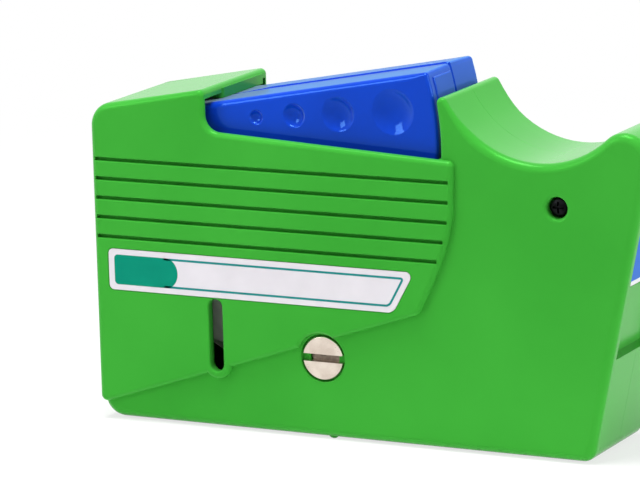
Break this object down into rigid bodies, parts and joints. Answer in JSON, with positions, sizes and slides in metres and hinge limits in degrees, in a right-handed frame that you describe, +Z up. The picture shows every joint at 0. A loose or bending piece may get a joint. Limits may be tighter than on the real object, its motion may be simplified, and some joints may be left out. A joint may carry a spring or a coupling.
{
  "type": "fibre optic cleaning cassette",
  "caption": "Hand-held reel cassette for wiping fibre connector ends, with a press lever that opens a sliding shutter and winds the cleaning tape.",
  "frame": {"origin": "middle of the bottom of the case's box", "axes": "+X from the flat back end to the nose, +Y from the labelled front to the rear, +Z up"},
  "size_m": [0.136, 0.032, 0.0841],
  "materials": {
    "case_green": "satin moulded ABS",
    "case_green_rear": "satin moulded ABS",
    "lever_blue": "glossy moulded ABS",
    "lever_blue_rear": "glossy moulded ABS",
    "shutter_blue": "glossy moulded ABS",
    "label": "printed polyester label",
    "nickel": "worn nickel plating",
    "brass": "turned",
    "black_screw": "black zinc",
    "window_grey": "fine moulded",
    "frame_grey": "moulded",
    "pad": "soft elastomer",
    "steel": "ground",
    "spring_steel": "drawn wire",
    "acetal": "natural acetal",
    "reel_black": "moulded",
    "tape_wound": "microfibre tape, edge on",
    "tape_used": "microfibre tape, used",
    "tape": "microfibre tape",
    "felt": "felt"
  },
  "bodies": {
    "case": {"front_shell": "case_green", "rear_shell": "case_green_rear", "front_label": "label", "coin_screw": "nickel", "coin_nut": "brass", "nose_screw": "black_screw", "window_plate": "window_grey", "head_frame": "frame_grey", "head_pad": "pad", "lever_pin": "steel", "lever_spring": "spring_steel", "holding_pawl_pin": "steel", "holding_pawl_spring": "spring_steel", "supply_axle": "steel", "takeup_axle": "steel", "thrust_washers": "acetal", "brake_washer": "felt", "roller_axles": "steel", "tape_run": "tape"},
    "lever": {"lever_front_half": "lever_blue", "lever_rear_half": "lever_blue_rear", "drive_pawl_pin": "steel", "drive_pawl_spring": "spring_steel"},
    "drive_pawl_body": {"drive_pawl": "acetal"},
    "holding_pawl_body": {"holding_pawl": "acetal"},
    "takeup": {"takeup_reel": "reel_black", "takeup_roll": "tape_used", "ratchet_wheel": "acetal"},
    "supply": {"supply_reel": "reel_black", "supply_roll": "tape_wound"},
    "low_roller": {"guide_roller_low": "acetal"},
    "corner_roller": {"guide_roller_corner": "acetal"},
    "top_roller": {"guide_roller_top": "acetal"},
    "shutter_body": {"shutter": "shutter_blue"}
  },
  "joints": [
    {"name": "lever_press", "type": "hinge", "parent": "case", "child": "lever", "pos_m": [-0.041, 0, 0.0679], "axis": [0, 1, 0], "range_deg": [0, 10.2], "stiffness_Nm_per_rad": 0.8, "springref_deg": -11.46, "deforming": ["lever_spring"]},
    {"name": "shutter_slide", "type": "slide", "parent": "case", "child": "shutter_body", "axis": [-0.2079, 0, -0.9781], "range_m": [0, 0.0176]},
    {"name": "takeup_turn", "type": "hinge", "parent": "case", "child": "takeup", "pos_m": [0.0151, 0, 0.0384], "axis": [0, 1, 0], "range_deg": [-44, 0]},
    {"name": "supply_turn", "type": "hinge", "parent": "case", "child": "supply", "pos_m": [-0.0373, 0, 0.0384], "axis": [0, 1, 0], "range_deg": [-26, 0]},
    {"name": "low_roller_turn", "type": "hinge", "parent": "case", "child": "low_roller", "pos_m": [-0.024, 0, 0.0104], "axis": [0, 1, 0], "range_deg": [-175, 0]},
    {"name": "corner_roller_turn", "type": "hinge", "parent": "case", "child": "corner_roller", "pos_m": [0.04816, 0, 0.0104], "axis": [0, 1, 0], "range_deg": [-175, 0]},
    {"name": "top_roller_turn", "type": "hinge", "parent": "case", "child": "top_roller", "pos_m": [0.0597, 0, 0.06469], "axis": [0, 1, 0], "range_deg": [-175, 0]},
    {"name": "drive_pawl_lift", "type": "hinge", "parent": "lever", "child": "drive_pawl_body", "pos_m": [0.01166, 0, 0.06327], "axis": [0, 1, 0], "range_deg": [0, 10], "stiffness_Nm_per_rad": 0.002, "springref_deg": -5.73},
    {"name": "holding_pawl_lift", "type": "hinge", "parent": "case", "child": "holding_pawl_body", "pos_m": [0.03406, 0, 0.03603], "axis": [0, 1, 0], "range_deg": [0, 10], "stiffness_Nm_per_rad": 0.002, "springref_deg": -5.73}
  ],
  "couplings": [
    {"joint": "shutter_slide", "follows": "lever_press", "m_per_rad": 0.09837},
    {"joint": "takeup_turn", "follows": "lever_press", "ratio": -4.282},
    {"joint": "supply_turn", "follows": "lever_press", "ratio": -2.482},
    {"joint": "low_roller_turn", "follows": "lever_press", "ratio": -17.13},
    {"joint": "corner_roller_turn", "follows": "lever_press", "ratio": -17.13},
    {"joint": "top_roller_turn", "follows": "lever_press", "ratio": -17.13}
  ]
}
